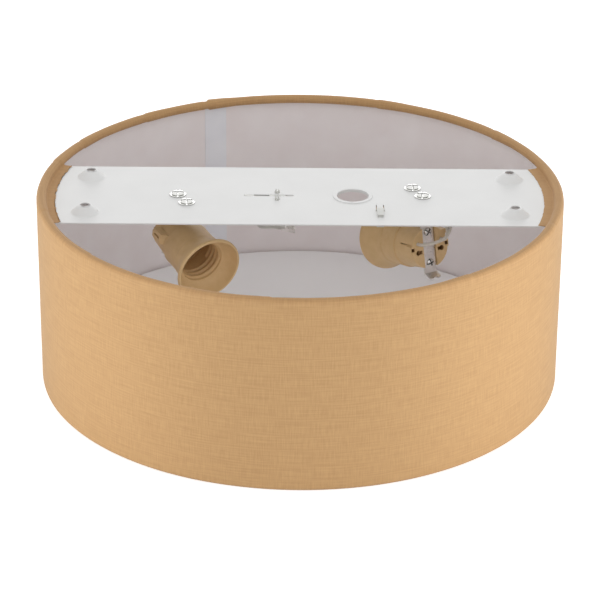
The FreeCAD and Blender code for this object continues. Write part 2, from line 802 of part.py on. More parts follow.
def terminal_block():
    """Snap-in block: two ribs in the slit, two split prongs through the plate, and two wire
    ways along the body."""
    x0, x1 = block_ends()
    half = block_size[1] / 2
    top, low = plate_under, plate_under - block_size[2]
    body = block(x0, x1, block_y - half, block_y + half, low, top)
    corner = [e for e in body.Edges if abs(e.CenterOfMass.x - x0) < 1e-6
              and abs(e.CenterOfMass.z - low) < 1e-6]
    body = body.makeFillet(block_corner, corner)
    wide = block_deck_width / 2
    deck = block(slit_start - 1.0, x1, block_y - wide, block_y + wide, top - block_deck, top)
    rib = slit_width / 2 - rib_play
    ribs = [block(a, b, -rib, rib, top - 1.0, plate_top)
            for a, b in ((slit_start + rib_play, rib_gap_start), (rib_gap_end, x1))]
    stem_top = plate_top + prong_height - prong_radius
    prongs = [rod(prong_radius, x, y, top - 1.0, stem_top) for x, y in prong_points()]
    caps = [Part.makeSphere(prong_radius, V(x, y, stem_top)) for x, y in prong_points()]
    body = fuse(body, deck, *(ribs + prongs + caps))
    cuts = [Part.makeCylinder(entry_bore / 2, x1 - x0 + 2, V(x0 - 1, y, wire_way_z), V(1, 0, 0))
            for y in wire_ways()]
    split = prong_split / 2
    cuts += [block(x - split, x + split, y - prong_radius, y + prong_radius,
                   plate_top + split, plate_top + prong_height) for x, y in prong_points()]
    cuts += [rod(clamp_screw_bore, x, y, low - 1, wire_way_z) for x, y in clamp_points()]
    cuts.append(block(rib_gap_start, rib_gap_end, -slit_width / 2, slit_width / 2,
                      top - 7.0, top + 1))
    return body.cut(Part.makeCompound(cuts))


def wire_ways():
    return [block_y - wire_way_offset, block_y + wire_way_offset]


def clamp_points():
    return [(block_x + dx, y) for dx in (-clamp_screw_offset, clamp_screw_offset)
            for y in wire_ways()]


def block_screws():
    """Four clamp screws up into the terminal block, one per wire end."""
    low = plate_under - block_size[2]
    r = clamp_screw_radius
    out = []
    for x, y in clamp_points():
        grub = rod(r, x, y, low + clamp_screw_slot, wire_way_z - lead_diameter / 2)
        slot = block(x - r, x + r, y - clamp_screw_slot / 2, y + clamp_screw_slot / 2, low,
                     low + 2.5 * clamp_screw_slot)
        out.append(grub.cut(slot))
    return Part.makeCompound(out)


def carrier_span():
    return block_ends()[1] + carrier_gap, slit_end + carrier_overlap


def earth_carrier():
    """Sheet-metal hook riveted under the plate beside the block.  Its foot runs back under
    the block and slopes, with a turned-down front edge."""
    t = strap_thickness
    x0, x1 = carrier_span()
    half = carrier_width / 2
    ear = block(x0, x1, -t / 2, carrier_ear, plate_under - t, plate_under)
    blade = block(x0, x1, -t / 2, t / 2, -carrier_drop - t, plate_under)
    left = x1 - carrier_length
    high = -carrier_drop + carrier_length * math.tan(math.radians(carrier_slope))

    def sheet(y0, y1, depth_left, depth_right):
        wire = Part.makePolygon([V(left, y0, high), V(x1, y0, -carrier_drop),
                                 V(x1, y0, -carrier_drop - depth_right),
                                 V(left, y0, high - depth_left), V(left, y0, high)])
        return Part.Face(wire).extrude(V(0, y1 - y0, 0))

    foot = sheet(-half, half, t, t)
    edge = sheet(-half, -half + t, t, carrier_edge)
    body = fuse(ear, blade, foot, edge)
    return body.cut(rod(carrier_rivet_radius, (x0 + x1) / 2, carrier_rivet_y,
                        plate_under - t - 1, plate_under + 1))


def carrier_rivet():
    """Pin welded to the underside of the plate, its end riveted over the hook's ear."""
    x = sum(carrier_span()) / 2
    ear = plate_under - strap_thickness
    low = ear - carrier_rivet_head
    shank = rod(carrier_rivet_radius - screw_play, x, carrier_rivet_y, low, plate_under)
    head = rod(carrier_rivet_radius * 1.8, x, carrier_rivet_y, low, ear)
    return fuse(shank, head)


# ---------------------------------------------------------------- leads
def lead_start(side):
    """Bottom of a wire bore in the base, and a point straight out of it."""
    x = side * terminal_x
    return [tuple(LAMP.multVec(V(x, entry_y, base_rear + depth)))
            for depth in (clamp_cover - screw_play, -clamp_cover)]


def leads():
    """Two leads of each lampholder, in world coordinates, to the terminal block."""
    front, back = wire_ways()
    x0, x1 = block_ends()
    end = wire_way_z
    long_loop = lead_start(1) + [(80.6, -22.0, -26.6), (88.4, -19.6, -24.0),
                                 (91.8, -14.0, -19.2), (89.8, -5.0, -15.2), (82.9, 4.6, -14.6),
                                 (70.0, 9.0, -14.6)]
    short_loop = lead_start(-1) + [(89.7, -14.2, -24.2), (89.2, -13.5, -18.7),
                                   (86.6, -9.4, -14.8), (79.0, 0.2, -14.4), (68.6, 0.0, -14.4)]
    right = [long_loop + [(53.0, 8.4, -14.6), (34.0, 5.4, -14.6), (16.0, 4.2, -13.4),
                          (2.0, back, end), (x1 - lead_end_inset, back, end)],
             short_loop + [(54.0, -4.6, -14.4), (36.0, -9.4, -14.4), (18.0, -9.4, -13.4),
                           (3.0, front, end), (x1 - lead_end_inset, front, end)]]
    left = [flip(long_loop) + [(-54.0, -9.2, -14.2), (-39.0, front, end),
                               (x0 + lead_end_inset, front, end)],
            flip(short_loop) + [(-55.0, 4.4, -14.0), (-40.0, back, end),
                                (x0 + lead_end_inset, back, end)]]
    return right, left


def flip(points):
    return [(-x, -y, z) for x, y, z in points]


# ---------------------------------------------------------------- build
def nodes():
    shell, base = on_lamp(holder_shell()), on_lamp(holder_base())
    brk = bracket()
    rear = rear_screws()
    pieces = {
        "ceiling_plate": ceiling_plate(),
        "ring_welds": ring_welds(),
        "cable_bush": cable_bush(),
        "cord_clip": cord_clip(),
        "top_ring": wire_ring(top_ring_z),
        "bottom_ring": wire_ring(bottom_ring_z),
        "shade_liner": shade_liner(),
        "liner_seam_strip": seam_strip(),
        "shade_fabric": shade_fabric(),
        "diffuser": diffuser(),
        "plate_screws": Part.makeCompound(plate_screws()),
        "lampholder_screws": Part.makeCompound(rear + [half_turn(s) for s in rear]),
        "terminal_block": terminal_block(),
        "terminal_block_screws": block_screws(),
        "earth_hook": earth_carrier(),
        "earth_hook_rivet": carrier_rivet(),
    }
    right, left = leads()
    for side, pair in (("right", right), ("left", left)):
        for kind, points in zip(("live", "neutral"), pair):
            pieces["%s_lead_%s" % (kind, side)] = lead(points)
    paired = {
        "lampholder_shell": shell,
        "lampholder_base": base,
        "lampholder_bracket": brk,
        "terminal_clamps": on_lamp(terminal_clamps()),
        "centre_contact": on_lamp(centre_contact()),
        "centre_contact_anchor": on_lamp(centre_anchor()),
        "side_contact": on_lamp(side_contact()),
        "side_contact_anchor": on_lamp(side_anchor()),
    }
    for name, shape in paired.items():
        pieces[name + "_right"] = shape
        pieces[name + "_left"] = half_turn(shape)
    return pieces


os.makedirs("parts", exist_ok=True)
for name, shape in nodes().items():
    if not shape.isValid() or shape.Volume <= 0:
        print("NOT VALID", name)
    b = shape.BoundBox
    print("%-30s solids %d vol %9.1f  z %7.2f..%7.2f" % (name, len(shape.Solids), shape.Volume,
                                                        b.ZMin, b.ZMax))
    shape.exportStep("parts/%s.step" % name)
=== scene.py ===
"""Flush mount ceiling light: a fabric drum on two wire rings, a white ceiling plate with two
lampholders under it, and an opal diffuser on the bottom ring.

Metres, +Z up, the origin on the ceiling in the middle of the four fixing holes, as in the
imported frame. The sections follow the light as it is put together.
"""
import math

import bmesh
import bpy
from mathutils import Matrix, Vector, noise


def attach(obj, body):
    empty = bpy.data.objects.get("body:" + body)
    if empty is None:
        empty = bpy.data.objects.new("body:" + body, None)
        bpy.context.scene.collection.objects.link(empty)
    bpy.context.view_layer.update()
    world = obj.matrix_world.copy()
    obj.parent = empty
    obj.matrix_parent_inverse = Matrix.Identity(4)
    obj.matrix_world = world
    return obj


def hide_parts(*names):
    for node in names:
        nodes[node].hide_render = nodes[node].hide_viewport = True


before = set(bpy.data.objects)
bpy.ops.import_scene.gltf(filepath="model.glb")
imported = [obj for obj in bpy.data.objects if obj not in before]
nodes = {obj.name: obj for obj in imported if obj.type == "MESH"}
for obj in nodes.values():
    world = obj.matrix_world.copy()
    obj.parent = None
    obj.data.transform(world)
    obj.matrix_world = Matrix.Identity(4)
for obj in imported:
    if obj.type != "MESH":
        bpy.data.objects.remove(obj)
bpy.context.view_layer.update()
bpy.ops.object.select_all(action="DESELECT")

# ------------------------------------------------------------------------------ wire rings
# Two rings of 4.4 mm zinc-plated steel wire, butt welded. They hold the drum round, and the
# cloth is rolled over them, so they show only where a hem ends.


def tone(red, green, blue):
    """A colour picked on screen, 0 to 255, as the linear colour that a shader takes."""
    parts = []
    for value in (red, green, blue):
        value /= 255
        parts.append(value / 12.92 if value < 0.04045 else ((value + 0.055) / 1.055) ** 2.4)
    return (*parts, 1)


def new_finish(name, colour, roughness, metallic=0.0):
    """A material on the standard shader, of one colour and one roughness to start with."""
    finish = bpy.data.materials.new(name)
    finish.use_nodes = True
    shader = finish.node_tree.nodes["Principled BSDF"]
    shader.inputs["Base Color"].default_value = colour
    shader.inputs["Roughness"].default_value = roughness
    shader.inputs["Metallic"].default_value = metallic
    return finish


def add_node(finish, kind, links=None, **fields):
    """A node of one kind: links feeds its sockets, the other words set its fields."""
    tree = finish.node_tree
    node = tree.nodes.new(kind)
    for key, value in fields.items():
        setattr(node, key, value)
    for socket, source in (links or {}).items():
        tree.links.new(source, node.inputs[socket])
    return node


def to_shader(finish, socket, source):
    """Feeds one socket of the material's shader."""
    finish.node_tree.links.new(source, finish.node_tree.nodes["Principled BSDF"].inputs[socket])


def speckle(finish, size, stretch=(1, 1, 1), detail=3.0, where="Object"):
    """Noise whose grains are about size metres, drawn out along an axis by stretch."""
    place = add_node(finish, "ShaderNodeTexCoord").outputs[where]
    scale = tuple(1 / size / s for s in stretch)
    mapped = add_node(finish, "ShaderNodeMapping", {"Vector": place})
    mapped.inputs["Scale"].default_value = scale
    grain = add_node(finish, "ShaderNodeTexNoise", {"Vector": mapped.outputs[0]})
    grain.inputs["Scale"].default_value = 1.0
    grain.inputs["Detail"].default_value = detail
    return grain.outputs["Fac"]


def ranged(finish, source, low, high, start=0.3, end=0.7):
    """What comes in from start to end, spread over low to high."""
    spread = add_node(finish, "ShaderNodeMapRange", {0: source})
    for index, value in ((1, start), (2, end), (3, low), (4, high)):
        spread.inputs[index].default_value = value
    return spread.outputs[0]


def tint(finish, source, dark, light, start=0.3, end=0.7):
    """Base colour between dark and light, as the noise goes from start to end."""
    mix = add_node(finish, "ShaderNodeMix", data_type="RGBA")
    finish.node_tree.links.new(ranged(finish, source, 0, 1, start, end), mix.inputs[0])
    mix.inputs[6].default_value = dark
    mix.inputs[7].default_value = light
    to_shader(finish, "Base Color", mix.outputs[2])
    return mix


def raise_by(finish, source, height, strength=1.0, over=None):
    """Surface relief of that height in metres, on top of an earlier relief."""
    bump = add_node(finish, "ShaderNodeBump", {"Height": source})
    bump.inputs["Distance"].default_value = height
    bump.inputs["Strength"].default_value = strength
    if over is not None:
        finish.node_tree.links.new(over, bump.inputs["Normal"])
    to_shader(finish, "Normal", bump.outputs[0])
    return bump.outputs[0]


def dress(name, finish):
    """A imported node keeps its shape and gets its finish."""
    mesh = nodes[name].data
    mesh.materials.clear()
    mesh.materials.append(finish)


zinc = new_finish("zinc_plated_steel", tone(238, 236, 233), 0.3, 1.0)
to_shader(zinc, "Roughness", ranged(zinc, speckle(zinc, 0.0015), 0.24, 0.42))
tint(zinc, speckle(zinc, 0.006, detail=5), tone(222, 219, 215), tone(246, 244, 241))
raise_by(zinc, speckle(zinc, 0.0004, (6, 1, 1)), 0.00002, 0.6)
for ring in ("top_ring", "bottom_ring"):
    dress(ring, zinc)

# --------------------------------------------------------------------------- ceiling plate
# Pressed from 0.8 mm sheet steel, with a raised dimple round each fixing hole. It is
# finished in white powder coat and spot welded under the top ring.


def from_node(name, new_name):
    """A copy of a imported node's mesh as a piece of its own, its loose triangles merged and
    its flat faces made whole."""
    piece = bpy.data.objects.new(new_name, nodes[name].data.copy())
    bpy.context.collection.objects.link(piece)
    bpy.ops.object.select_all(action="DESELECT")
    bpy.context.view_layer.objects.active = piece
    piece.select_set(True)
    bpy.ops.object.mode_set(mode="EDIT")
    bpy.ops.mesh.select_all(action="SELECT")
    bpy.ops.mesh.remove_doubles(threshold=1e-6)
    bpy.ops.mesh.dissolve_limited(angle_limit=math.radians(1.0))
    bpy.ops.object.mode_set(mode="OBJECT")
    return piece


def soften(piece, width, angle=35, segments=2):
    """Rounds the edges sharper than angle, and smooths what is left."""
    edge = piece.modifiers.new("soft_edges", "BEVEL")
    edge.width = width
    edge.segments = segments
    edge.limit_method = "ANGLE"
    edge.angle_limit = math.radians(angle)
    edge.use_clamp_overlap = True
    bpy.context.view_layer.objects.active = piece
    bpy.ops.object.select_all(action="DESELECT")
    piece.select_set(True)
    bpy.ops.object.modifier_apply(modifier=edge.name)
    bpy.ops.object.shade_smooth_by_angle(angle=math.radians(angle))
    facing = piece.modifiers.new("flat_faces_stay_flat", "WEIGHTED_NORMAL")
    facing.keep_sharp = True
    facing.weight = 100
    bpy.ops.object.modifier_apply(modifier=facing.name)


def place(piece, finish, body, slot, *instead):
    """The piece gets its finish and its body, and stands for the nodes it was made from."""
    piece.data.materials.clear()
    piece.data.materials.append(finish)
    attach(piece, body)
    if instead:
        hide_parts(*instead)


powder_coat = new_finish("white_powder_coat", tone(231, 231, 230), 0.5)
tint(powder_coat, speckle(powder_coat, 0.03), tone(229, 229, 228), tone(233, 233, 232))
peel = raise_by(powder_coat, speckle(powder_coat, 0.0012), 0.00002, 0.5)
raise_by(powder_coat, speckle(powder_coat, 0.0003), 0.000008, 0.4, peel)

plate = from_node("ceiling_plate", "plate_sheet")
hole_x, hole_y = 0.129, 0.0272
flat_r, cone_r, dimple_r = 0.0031, 0.0086, 0.0104
sheet_thickness = 0.0008
plate_drop = 0.0049
# the dimples' sides are straight cones from the flat round the hole down to the plate
for vertex in plate.data.vertices:
    reach = math.hypot(abs(vertex.co.x) - hole_x, abs(vertex.co.y) - hole_y)
    if flat_r < reach < dimple_r:
        skin = 0.0 if vertex.normal.z > 0 else sheet_thickness
        cone = -plate_drop * min(1, (reach - flat_r) / (cone_r - flat_r)) - skin
        vertex.co.z = min(vertex.co.z, cone)
soften(plate, 0.0003)
place(plate, powder_coat, "lamp", "white_plate", "ceiling_plate")

# ------------------------------------------------------------------------------ ring welds
# Four short beads of weld in the angle between the plate's ends and the top ring, two at
# each end. The cloth is glued over them, so they hardly show.
weld = new_finish("weld_bead", tone(150, 142, 134), 0.45, 1.0)
raise_by(weld, speckle(weld, 0.0009), 0.0001)
dress("ring_welds", weld)

# ------------------------------------------------------------------------------ cable bush
# A white nylon bush in the cable hole, so that the sheet's edge doesn't cut the cord. Its
# thin flange lies on the plate, and a barb snaps under it.
bush_nylon = new_finish("bush_nylon", tone(228, 228, 227), 0.45)
tint(bush_nylon, speckle(bush_nylon, 0.004), tone(225, 225, 224), tone(230, 230, 229))
raise_by(bush_nylon, speckle(bush_nylon, 0.0006), 0.00001, 0.4)
bush = from_node("cable_bush", "cable_bush_ring")
soften(bush, 0.00012)
place(bush, bush_nylon, "lamp", "white_nylon", "cable_bush")

# ------------------------------------------------------------------------------- cord clip
# A small hook of natural nylon, moulded in one piece. It is pushed through a slot in the
# plate, and holds the mains cord under it.
clear_nylon = new_finish("natural_nylon", tone(238, 238, 232), 0.3)
tint(clear_nylon, speckle(clear_nylon, 0.004), tone(234, 234, 227), tone(242, 242, 237))
nylon_shader = clear_nylon.node_tree.nodes["Principled BSDF"]
nylon_shader.inputs["Transmission Weight"].default_value = 0.35
nylon_shader.inputs["IOR"].default_value = 1.5
raise_by(clear_nylon, speckle(clear_nylon, 0.0008), 0.00001, 0.4)
clip = from_node("cord_clip", "cord_clip_hook")
soften(clip, 0.0004)
place(clip, clear_nylon, "lamp", "clear_nylon", "cord_clip")

# -------------------------------------------------------------------------- terminal block
# A snap-in nylon block under the slit, with two split prongs through the plate and four
# clamp screws from below. The leads and the mains cord meet in it.
block = from_node("terminal_block", "terminal_block_body")
soften(block, 0.0003)
place(block, clear_nylon, "lamp", "clear_nylon", "terminal_block")

# ------------------------------------------------------------------------------ lampholders
# Each is made of two mouldings of tan thermoset: a shell with a flared flange and the
# E27 thread inside its neck, and a base behind it that carries the contacts.
lamp_side = Vector((-0.85355, -0.52101, 0.0))
lamp_up = Vector((-0.10387, 0.17017, 0.97992))
lamp_out = Vector((-0.51055, 0.83642, -0.19937))
lamp_mouth = Vector((0.0546, 0.0274, -0.0427))
lamp_axes = Matrix((lamp_side, lamp_up, lamp_out)).transposed()
lamp_place = Matrix.Translation(lamp_mouth) @ lamp_axes.to_4x4()
half_turn = Matrix.Rotation(math.pi, 4, "Z")


def draw_outline(name, points):
    """A line of edges in the XZ plane, in millimetres, drawn point after point."""
    bpy.ops.mesh.primitive_plane_add(size=0.001, location=(0, 0, 0))
    piece = bpy.context.object
    piece.name = piece.data.name = name
    bpy.ops.object.mode_set(mode="EDIT")
    bpy.ops.mesh.merge(type="CENTER")
    here = Vector((0, 0, 0))
    for index, (radius, height) in enumerate(points):
        there = Vector((radius, 0, height)) / 1000
        if index == 0:
            bpy.ops.transform.translate(value=there)
        else:
            bpy.ops.mesh.extrude_vertices_move(TRANSFORM_OT_translate={"value": there - here})
        here = there
    return piece


def arc(cx, cz, radius, start, end, steps):
    """Points (radius, height) on an arc, its angles in degrees from the outward direction."""
    turns = [math.radians(start + (end - start) * i / steps) for i in range(steps + 1)]
    return [(cx + radius * math.cos(t), cz + radius * math.sin(t)) for t in turns]


def lathe(steps):
    """Turns the drawn outline about the Z axis into a closed skin."""
    bpy.ops.mesh.select_all(action="SELECT")
    bpy.ops.mesh.spin(steps=steps, angle=math.tau, center=(0, 0, 0), axis=(0, 0, 1))
    bpy.ops.mesh.select_all(action="SELECT")
    bpy.ops.mesh.remove_doubles(threshold=2e-6)
    bpy.ops.mesh.normals_make_consistent(inside=False)
    bpy.ops.object.mode_set(mode="OBJECT")


def put_in(piece, matrix):
    """Moves the mesh itself, so that the object stays at the origin."""
    piece.data.transform(matrix)
    piece.data.update()


thermoset = new_finish("tan_thermoset", tone(233, 199, 146), 0.5)
marbled = tint(thermoset, speckle(thermoset, 0.004, detail=6),
               tone(230, 195, 141), tone(237, 203, 151))
# painted shade: ambient occlusion darkens the tan to brown deep inside the necks and holes,
# where little light gets in
corners = add_node(thermoset, "ShaderNodeAmbientOcclusion", samples=6)
corners.inputs["Distance"].default_value = 0.018
painted_shade = add_node(thermoset, "ShaderNodeMix", data_type="RGBA", blend_type="MULTIPLY")
hollow = ranged(thermoset, corners.outputs["AO"], 1, 0, 0.08, 0.5)
thermoset.node_tree.links.new(hollow, painted_shade.inputs[0])
thermoset.node_tree.links.new(marbled.outputs[2], painted_shade.inputs[6])
painted_shade.inputs[7].default_value = (0.36, 0.25, 0.18, 1)
to_shader(thermoset, "Base Color", painted_shade.outputs[2])
raise_by(thermoset, speckle(thermoset, 0.0005), 0.00002, 0.35)

# the section of a shell in millimetres, its mouth at 0: lip, flared outside, neck, bore
shell_outline = [(19.5, -0.45)]
shell_outline += arc(19.95, -0.45, 0.45, 180, 90, 4)
shell_outline += arc(20.1, -0.9, 0.9, 90, 0, 5)
shell_outline += [(21.0, -1.9), (20.8, -2.2), (20.35, -2.5), (20.0, -3.3)]
shell_outline += [(19.55, -4.3), (18.75, -5.6), (17.7, -7.3), (16.85, -9.0), (16.25, -10.8),
                  (15.85, -12.8), (15.65, -14.6), (15.6, -15.8), (15.45, -16.0), (15.25, -16.1),
                  (15.2, -16.4), (15.2, -29.9), (15.05, -30.25), (14.8, -30.4), (13.45, -30.4)]
shell_outline += [(13.45, -9.9), (13.6, -9.45), (14.0, -9.3), (14.6, -9.15), (15.2, -8.7)]
shell_outline += [(16.6, -7.4), (17.6, -6.0), (18.5, -4.2), (19.15, -2.2)]
shell_outline += [(19.5, -0.45)]
ridge_outline = [(13.9, -24.9), (13.9, -21.6), (13.35, -21.75), (12.45, -22.75), (12.3, -23.1),
                 (12.3, -23.5), (12.45, -23.8), (13.35, -24.75), (13.9, -24.9)]
thread_start = math.radians(-35)
thread_pitch, thread_turns = 0.003629, 3.6


def holder_shell(name):
    """A lathed shell, and the ridge of its thread, swept round inside the neck."""
    piece = draw_outline(name, shell_outline)
    lathe(128)
    ridge = draw_outline(name + "_thread", ridge_outline)
    bpy.ops.mesh.select_all(action="SELECT")
    bpy.ops.mesh.remove_doubles(threshold=2e-6)
    bpy.ops.object.mode_set(mode="OBJECT")
    sweep = ridge.modifiers.new("turns", "SCREW")
    sweep.screw_offset = thread_pitch * thread_turns
    sweep.angle = math.tau * thread_turns
    sweep.steps = sweep.render_steps = 340
    sweep.use_merge_vertices = False
    bpy.ops.object.modifier_apply(modifier=sweep.name)
    bpy.ops.object.mode_set(mode="EDIT")
    bpy.ops.mesh.select_all(action="DESELECT")
    bpy.ops.mesh.select_mode(type="EDGE")
    bpy.ops.mesh.select_non_manifold()
    bpy.ops.mesh.edge_face_add()
    bpy.ops.mesh.select_mode(type="VERT")
    bpy.ops.mesh.select_all(action="SELECT")
    bpy.ops.mesh.normals_make_consistent(inside=False)
    bpy.ops.object.mode_set(mode="OBJECT")
    ridge.data.transform(Matrix.Rotation(thread_start, 4, "Z"))
    bpy.ops.object.select_all(action="DESELECT")
    ridge.select_set(True)
    piece.select_set(True)
    bpy.context.view_layer.objects.active = piece
    bpy.ops.object.join()
    bpy.ops.object.shade_smooth_by_angle(angle=math.radians(40))
    return piece


for side, turn in (("right", Matrix.Identity(4)), ("left", half_turn)):
    shell = holder_shell("lampholder_moulding_" + side)
    put_in(shell, turn @ lamp_place)
    place(shell, thermoset, "lamp", "holder_plastic", "lampholder_shell_" + side)
    base = from_node("lampholder_base_" + side, "lampholder_rear_" + side)
    soften(base, 0.0003)
    place(base, thermoset, "lamp", "holder_plastic", "lampholder_base_" + side)

# ------------------------------------------------------------------- contacts and brackets
# Sprung brass contacts on riveted feet, brass clamps for the wires, and a steel strap that
# is screwed to the back of each base and under the plate.
brass = new_finish("contact_brass", tone(214, 178, 110), 0.28, 1.0)
tint(brass, speckle(brass, 0.003), tone(196, 156, 90), tone(222, 190, 124))
raise_by(brass, speckle(brass, 0.0003, (8, 1, 1)), 0.00001, 0.5)
for side in ("right", "left"):
    for piece in ("terminal_clamps_", "centre_contact_", "centre_contact_anchor_",
                  "side_contact_", "side_contact_anchor_"):
        dress(piece + side, brass)
    strap = from_node("lampholder_bracket_" + side, "holder_strap_" + side)
    soften(strap, 0.00015)
    place(strap, zinc, "lamp", "bare_steel", "lampholder_bracket_" + side)

# ---------------------------------------------------------------------------------- screws
# Bright zinc-plated machine screws with a cross recess: four pan heads on washers through
# the plate, four small pan heads behind the lampholders, and the clamp screws of the block.
bright = new_finish("bright_screw", tone(236, 236, 232), 0.16, 1.0)
plated = tint(bright, speckle(bright, 0.001), tone(228, 228, 224), tone(240, 240, 238))
to_shader(bright, "Roughness", ranged(bright, speckle(bright, 0.001), 0.12, 0.24))
# painted shade: ambient occlusion darkens the creases, and an attribute darkens the faces of the
# cross recess, where shadow falls
crease = add_node(bright, "ShaderNodeAmbientOcclusion", samples=6)
crease.inputs["Distance"].default_value = 0.0012
cut_faces = add_node(bright, "ShaderNodeAttribute", attribute_name="cut_face")
creased = ranged(bright, crease.outputs["AO"], 1, 0, 0.25, 0.8)
darker = add_node(bright, "ShaderNodeMath", {0: creased, 1: cut_faces.outputs["Fac"]},
                  operation="MAXIMUM")
painted_recess_shade = add_node(bright, "ShaderNodeMix", data_type="RGBA", blend_type="MULTIPLY")
bright.node_tree.links.new(darker.outputs[0], painted_recess_shade.inputs[0])
bright.node_tree.links.new(plated.outputs[2], painted_recess_shade.inputs[6])
painted_recess_shade.inputs[7].default_value = (0.20, 0.20, 0.19, 1)
to_shader(bright, "Base Color", painted_recess_shade.outputs[2])


def cross_screw(name, washer_r, washer_h, dome_r, rise, shank_r, length):
    """A pan head on its washer, with a cross recess, and a threaded shank below z = 0, all in
    millimetres. The faces of the recess get an attribute that darkens them as painted shade."""
    bite, pitch, middle = 0.22, 0.7, 0.001
    profile = [(middle, rise), (dome_r * 0.42, rise * 0.985), (dome_r * 0.72, rise * 0.9),
               (dome_r * 0.9, washer_h + (rise - washer_h) * 0.68),
               (dome_r, washer_h + (rise - washer_h) * 0.35), (dome_r, washer_h + 0.1),
               (dome_r - 0.12, washer_h)]
    if washer_r > dome_r:
        profile += [(dome_r + 0.35, washer_h - 0.12), (washer_r - 0.3, washer_h - 0.05),
                    (washer_r - 0.05, washer_h - 0.2), (washer_r, washer_h * 0.5),
                    (washer_r - 0.12, 0.06), (washer_r - 0.4, 0.0)]
    profile += [(shank_r, 0.0)]
    for turn in range(int((length - 1.0) / pitch)):
        low = -0.5 - turn * pitch
        profile += [(shank_r, low), (shank_r - bite, low - pitch / 2)]
    profile += [(shank_r - 0.1, -length + 0.4), (shank_r - 0.5, -length), (middle, -length)]
    piece = draw_outline(name, profile)
    lathe(48)
    reach, half = dome_r * 1.04, dome_r * 0.16
    for quarter in (0, 1):
        bpy.ops.mesh.primitive_cube_add(size=0.001, location=(0, 0, 0))
        cutter = bpy.context.object
        bpy.ops.object.mode_set(mode="EDIT")
        mesh = bmesh.from_edit_mesh(cutter.data)
        for vertex in mesh.verts:
            below = vertex.co.z < 0
            longer, wider = (0.97, 0.8) if below else (1.0, 1.0)
            height = rise * 0.2 if below else rise + 0.3
            vertex.co = (math.copysign(reach * longer, vertex.co.x) / 1000,
                         math.copysign(half * wider, vertex.co.y) / 1000, height / 1000)
        bmesh.update_edit_mesh(cutter.data)
        bpy.ops.object.mode_set(mode="OBJECT")
        cutter.data.transform(Matrix.Rotation(quarter * math.pi / 2, 4, "Z"))
        slot = piece.modifiers.new("recess", "BOOLEAN")
        slot.operation = "DIFFERENCE"
        slot.solver = "EXACT"
        slot.object = cutter
        bpy.ops.object.select_all(action="DESELECT")
        bpy.context.view_layer.objects.active = piece
        piece.select_set(True)
        bpy.ops.object.modifier_apply(modifier=slot.name)
        bpy.data.objects.remove(cutter)
    # the attribute marks the recess faces for painted shade
    cut_face = piece.data.attributes.new("cut_face", "FLOAT", "FACE")
    recess_foot = washer_h * 0.5 + 0.1
    for face in piece.data.polygons:
        x, y, z = (1000 * value for value in face.center)
        near, far = sorted((abs(x), abs(y)))
        if near < half + 0.03 and far < dome_r - 0.02 and z > recess_foot:
            cut_face.data[face.index].value = 0.9
    bpy.ops.object.shade_smooth_by_angle(angle=math.radians(32))
    return piece


def set_screws(first, name, places):
    """Copies of one screw, each moved to its place, joined into one piece."""
    copies = [first]
    for _ in places[1:]:
        copy = bpy.data.objects.new(name, first.data.copy())
        bpy.context.collection.objects.link(copy)
        copies.append(copy)
    bpy.ops.object.select_all(action="DESELECT")
    for copy, where in zip(copies, places):
        put_in(copy, where)
        copy.select_set(True)
    bpy.context.view_layer.objects.active = first
    bpy.ops.object.join()
    first.name = first.data.name = name
    return first


plate_places = []
for x, y, turn in ((74.5, -0.1, -8), (68.7, 12.2, 4), (-74.5, 0.1, 0), (-68.7, -12.2, 5)):
    plate_places.append(Matrix.Translation((x / 1000, y / 1000, -plate_drop))
                        @ Matrix.Rotation(math.radians(turn), 4, "Z"))
plate_screw = cross_screw("plate_screw", washer_r=5.05, washer_h=0.7, dome_r=3.75, rise=2.2,
                          shank_r=1.95, length=7.0)
heads = set_screws(plate_screw, "plate_screw_heads", plate_places)
place(heads, bright, "lamp", "screw_chrome", "plate_screws")

strap_face, rear_screw_y = -0.0468, 0.0097
rear_places = []
for side_turn in (Matrix.Identity(4), half_turn):
    for y, turn in ((-rear_screw_y, 15.6), (rear_screw_y, 54.4)):
        rear_places.append(side_turn @ lamp_place @ Matrix.Translation((0, y, strap_face))
                           @ Matrix.Rotation(math.pi, 4, "X")
                           @ Matrix.Rotation(math.radians(turn), 4, "Z"))
rear_screw = cross_screw("rear_screw", washer_r=0.0, washer_h=0.0, dome_r=2.45, rise=1.6,
                         shank_r=1.2, length=7.5)
rear_heads = set_screws(rear_screw, "holder_screw_heads", rear_places)
place(rear_heads, bright, "lamp", "screw_chrome", "lampholder_screws")

grubs = from_node("terminal_block_screws", "clamp_screws")
soften(grubs, 0.0001)
place(grubs, bright, "lamp", "screw_chrome", "terminal_block_screws")

# ------------------------------------------------------------------------------ earth hook
# A hook bent from steel sheet beside the terminal block, held under the plate by one rivet,
# for the earth wire of the mains cord.
hook = from_node("earth_hook", "earth_hook_sheet")
soften(hook, 0.00015)
place(hook, zinc, "lamp", "bare_steel", "earth_hook")
dress("earth_hook_rivet", zinc)

# ----------------------------------------------------------------------------------- leads
# Sleeved flexible leads, 2.0 mm thick, two from the clamps of each lampholder to the block.
# They hang free under the plate.
sleeve = new_finish("lead_sleeve", tone(226, 219, 207), 0.5)
tint(sleeve, speckle(sleeve, 0.001), tone(220, 212, 199), tone(232, 226, 216))
raise_by(sleeve, speckle(sleeve, 0.0002), 0.00002, 0.4)
for side in ("right", "left"):
    dress("live_lead_" + side, sleeve)
    dress("neutral_lead_" + side, sleeve)

